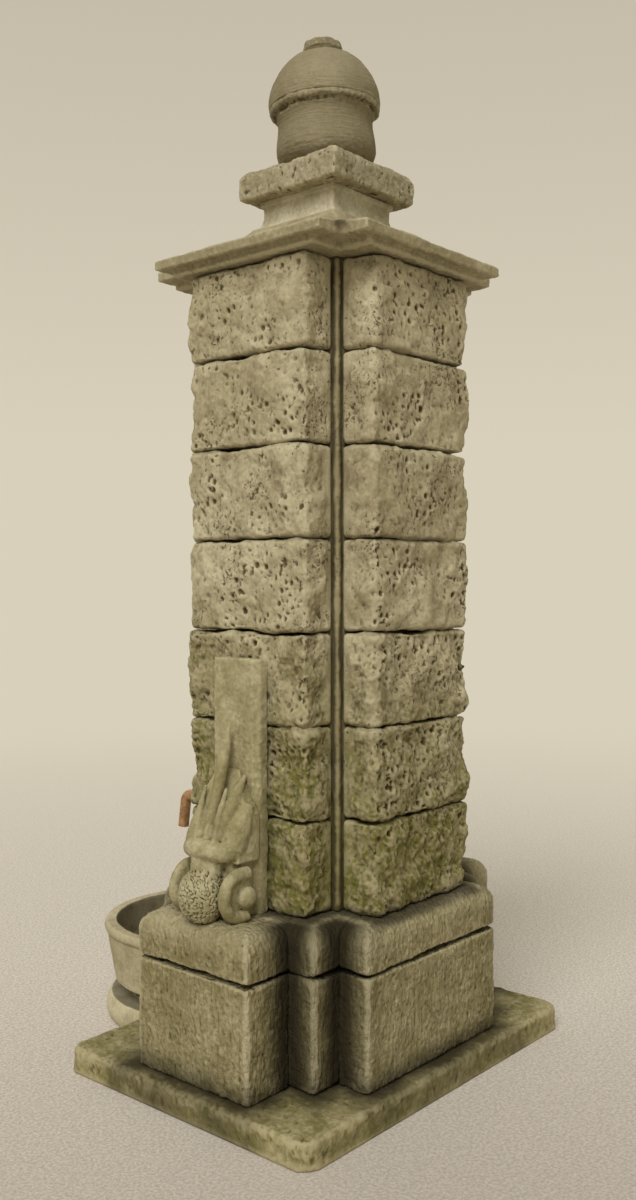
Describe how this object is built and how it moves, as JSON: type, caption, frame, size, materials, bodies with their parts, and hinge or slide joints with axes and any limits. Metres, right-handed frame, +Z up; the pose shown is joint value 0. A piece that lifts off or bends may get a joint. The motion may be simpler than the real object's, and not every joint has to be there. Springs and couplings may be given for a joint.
{
  "type": "drinking fountain",
  "caption": "Stone drinking fountain: an ashlar pillar on a two-tier plinth, with carved side brackets, a cornice, an urn finial, a copper spout and a D-shaped basin.",
  "frame": {"origin": "the pillar's axis at ground level, at the mouth of the supply pipe", "axes": "+Z up; -Y is the front, where the spout and the basin are; the carved brackets face +X and -X"},
  "size_m": [1.446, 1.5461, 3.555],
  "materials": {
    "slab_stone": "worn, dark in the hollows",
    "basin_stone": "smooth, rubbed",
    "plinth_stone": "tooled, mossy near the ground",
    "core_stone": "sawn",
    "block_stone": "rough, pitted, mossy near the plinth",
    "dressed_stone": "dressed, finely pitted",
    "carved_stone": "carved, weathered",
    "copper": "dull copper",
    "bronze": "cast bronze, dull",
    "steel": "plain forged steel"
  },
  "bodies": {
    "fountain": {"base_slab": "slab_stone", "basin_foot": "basin_stone", "basin_bowl": "basin_stone", "plinth_core": "plinth_stone", "plinth_cap_core": "plinth_stone", "plinth_block_right": "plinth_stone", "plinth_block_back": "plinth_stone", "plinth_block_left": "plinth_stone", "plinth_block_front": "plinth_stone", "plinth_cap_right": "plinth_stone", "plinth_cap_back": "plinth_stone", "plinth_cap_left": "plinth_stone", "plinth_cap_front": "plinth_stone", "shaft_core": "core_stone", "shaft_block_1_right": "block_stone", "shaft_block_1_back": "block_stone", "shaft_block_1_left": "block_stone", "shaft_block_1_front": "block_stone", "shaft_block_2_right": "block_stone", "shaft_block_2_back": "block_stone", "shaft_block_2_left": "block_stone", "shaft_block_2_front": "block_stone", "shaft_block_3_right": "block_stone", "shaft_block_3_back": "block_stone", "shaft_block_3_left": "block_stone", "shaft_block_3_front": "block_stone", "shaft_block_4_right": "block_stone", "shaft_block_4_back": "block_stone", "shaft_block_4_left": "block_stone", "shaft_block_4_front": "block_stone", "shaft_block_5_right": "block_stone", "shaft_block_5_back": "block_stone", "shaft_block_5_left": "block_stone", "shaft_block_5_front": "block_stone", "shaft_block_6_right": "block_stone", "shaft_block_6_back": "block_stone", "shaft_block_6_left": "block_stone", "shaft_block_6_front": "block_stone", "shaft_block_7_right": "block_stone", "shaft_block_7_back": "block_stone", "shaft_block_7_left": "block_stone", "shaft_block_7_front": "block_stone", "cornice": "dressed_stone", "neck_block": "dressed_stone", "cap_slab": "dressed_stone", "finial_bowl": "dressed_stone", "finial_dome": "dressed_stone", "side_panel_right": "carved_stone", "side_panel_left": "carved_stone", "carved_bracket_right": "carved_stone", "carved_bracket_left": "carved_stone", "spout_pipe": "copper", "riser_pipe": "copper", "supply_pipe": "copper", "waste_pipe": "copper", "spout_elbow": "bronze", "cock_body": "bronze"},
    "cock_plug": {"cock_plug": "bronze", "cock_lever": "steel"},
    "strainer": {"basin_strainer": "bronze"}
  },
  "joints": [
    {"name": "cock_turn", "type": "hinge", "parent": "fountain", "child": "cock_plug", "pos_m": [0, 0, 0.27], "axis": [1, 0, 0], "range_deg": [0, 90]},
    {"name": "strainer_lift", "type": "slide", "parent": "fountain", "child": "strainer", "axis": [0, 0, 1], "range_m": [0, 0.25]}
  ]
}
